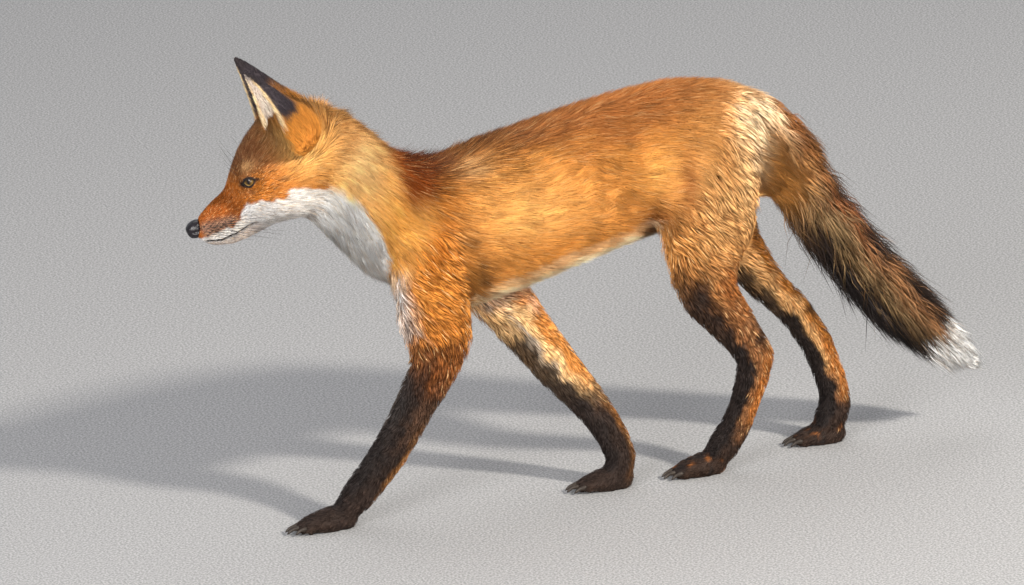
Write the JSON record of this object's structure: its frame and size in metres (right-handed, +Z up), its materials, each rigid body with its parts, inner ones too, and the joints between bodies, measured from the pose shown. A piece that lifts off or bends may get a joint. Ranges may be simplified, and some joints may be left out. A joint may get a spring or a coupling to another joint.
{
  "type": "red fox",
  "caption": "Life-size still model of a slim young red fox walking on level ground, head low and turned a little, brush hanging behind.",
  "frame": {"origin": "on the floor under the middle of the body's box: Z = 0 is the level the soles stand on", "axes": "the fox faces -X and its tail trails towards +X; its left side is towards -Y; +Z is up"},
  "size_m": [0.8171, 0.13, 0.4852],
  "materials": {
    "coat_red": "fur, rust red to golden orange, soft sheen",
    "coat_white": "fur, white to pale grey",
    "coat_black": "fur, black to dark brown, short and sleek",
    "coat_brush": "long fur, tawny brown with black tips",
    "nose_leather": "moist, finely pebbled",
    "eye": "wet gloss",
    "claw_horn": "smooth horn"
  },
  "bodies": {
    "root": {"claw_fore_left_1": "claw_horn", "claw_fore_left_2": "claw_horn", "claw_fore_left_3": "claw_horn", "claw_fore_left_4": "claw_horn", "claw_fore_right_1": "claw_horn", "claw_fore_right_2": "claw_horn", "claw_fore_right_3": "claw_horn", "claw_fore_right_4": "claw_horn", "claw_hind_left_1": "claw_horn", "claw_hind_left_2": "claw_horn", "claw_hind_left_3": "claw_horn", "claw_hind_left_4": "claw_horn", "claw_hind_right_1": "claw_horn", "claw_hind_right_2": "claw_horn", "claw_hind_right_3": "claw_horn", "claw_hind_right_4": "claw_horn", "ear_left": "coat_black", "ear_right": "coat_black", "eye_left": "eye", "eye_right": "eye", "forearm_left": "coat_black", "forearm_right": "coat_black", "forepaw_left": "coat_black", "forepaw_right": "coat_black", "head": "coat_red", "hindpaw_left": "coat_black", "hindpaw_right": "coat_black", "lower_jaw": "coat_white", "metatarsus_left": "coat_black", "metatarsus_right": "coat_black", "neck": "coat_red", "nose": "nose_leather", "shank_left": "coat_black", "shank_right": "coat_black", "tail_end": "coat_brush", "tail_middle": "coat_brush", "tail_root": "coat_brush", "tail_tip": "coat_white", "thigh_left": "coat_red", "thigh_right": "coat_red", "trunk": "coat_red", "upper_foreleg_left": "coat_red", "upper_foreleg_right": "coat_red"}
  },
  "joints": []
}
